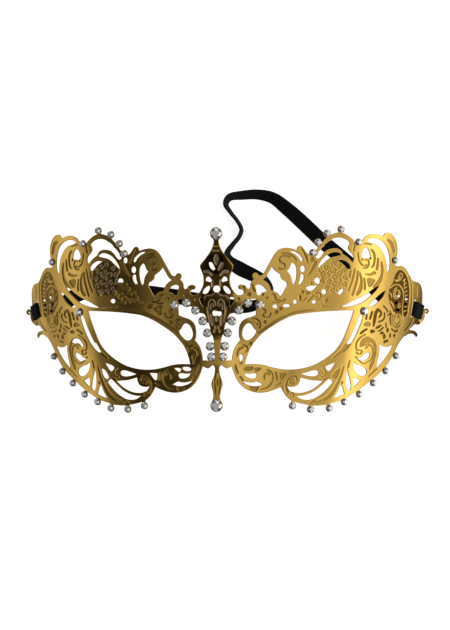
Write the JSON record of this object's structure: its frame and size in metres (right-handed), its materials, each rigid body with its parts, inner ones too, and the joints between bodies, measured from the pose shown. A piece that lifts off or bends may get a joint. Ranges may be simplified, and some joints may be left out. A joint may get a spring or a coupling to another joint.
{
  "type": "masquerade mask",
  "caption": "Filigree half mask etched from thin gold-plated metal and bent round the face, edged with clear rhinestones, worn on an elastic strap.",
  "frame": {"origin": "centre of the mask's footprint, on the table that it lies on face up", "axes": "+X towards the mask's right end in the picture, +Y from the chin side to the forehead, +Z out of the face"},
  "size_m": [0.1924, 0.1039, 0.058],
  "materials": {
    "sheet": "mirror-polished gold plate with matte etched recesses",
    "stones": "clear faceted glass with a foil back",
    "strap": "woven black elastic"
  },
  "bodies": {
    "root": {"mask_sheet": "sheet", "stone_crest": "stones", "stone_left_arch_1": "stones", "stone_left_arch_2": "stones", "stone_left_arch_3": "stones", "stone_left_arch_4": "stones", "stone_left_arch_5": "stones", "stone_left_arch_6": "stones", "stone_left_cheek_1": "stones", "stone_left_cheek_2": "stones", "stone_left_cheek_3": "stones", "stone_left_cheek_4": "stones", "stone_left_cheek_5": "stones", "stone_left_cheek_6": "stones", "stone_left_cheek_7": "stones", "stone_left_cheek_8": "stones", "stone_left_eye_corner": "stones", "stone_left_nose_1": "stones", "stone_left_nose_2": "stones", "stone_left_nose_3": "stones", "stone_left_nose_4": "stones", "stone_left_nose_5": "stones", "stone_left_nose_6": "stones", "stone_left_nose_7": "stones", "stone_right_arch_1": "stones", "stone_right_arch_2": "stones", "stone_right_arch_3": "stones", "stone_right_arch_4": "stones", "stone_right_arch_5": "stones", "stone_right_arch_6": "stones", "stone_right_cheek_1": "stones", "stone_right_cheek_2": "stones", "stone_right_cheek_3": "stones", "stone_right_cheek_4": "stones", "stone_right_cheek_5": "stones", "stone_right_cheek_6": "stones", "stone_right_cheek_7": "stones", "stone_right_cheek_8": "stones", "stone_right_eye_corner": "stones", "stone_right_nose_1": "stones", "stone_right_nose_2": "stones", "stone_right_nose_3": "stones", "stone_right_nose_4": "stones", "stone_right_nose_5": "stones", "stone_right_nose_6": "stones", "stone_right_nose_7": "stones", "stone_tip": "stones", "strap": "strap", "strap_loop_left": "strap", "strap_loop_right": "strap"}
  },
  "joints": []
}
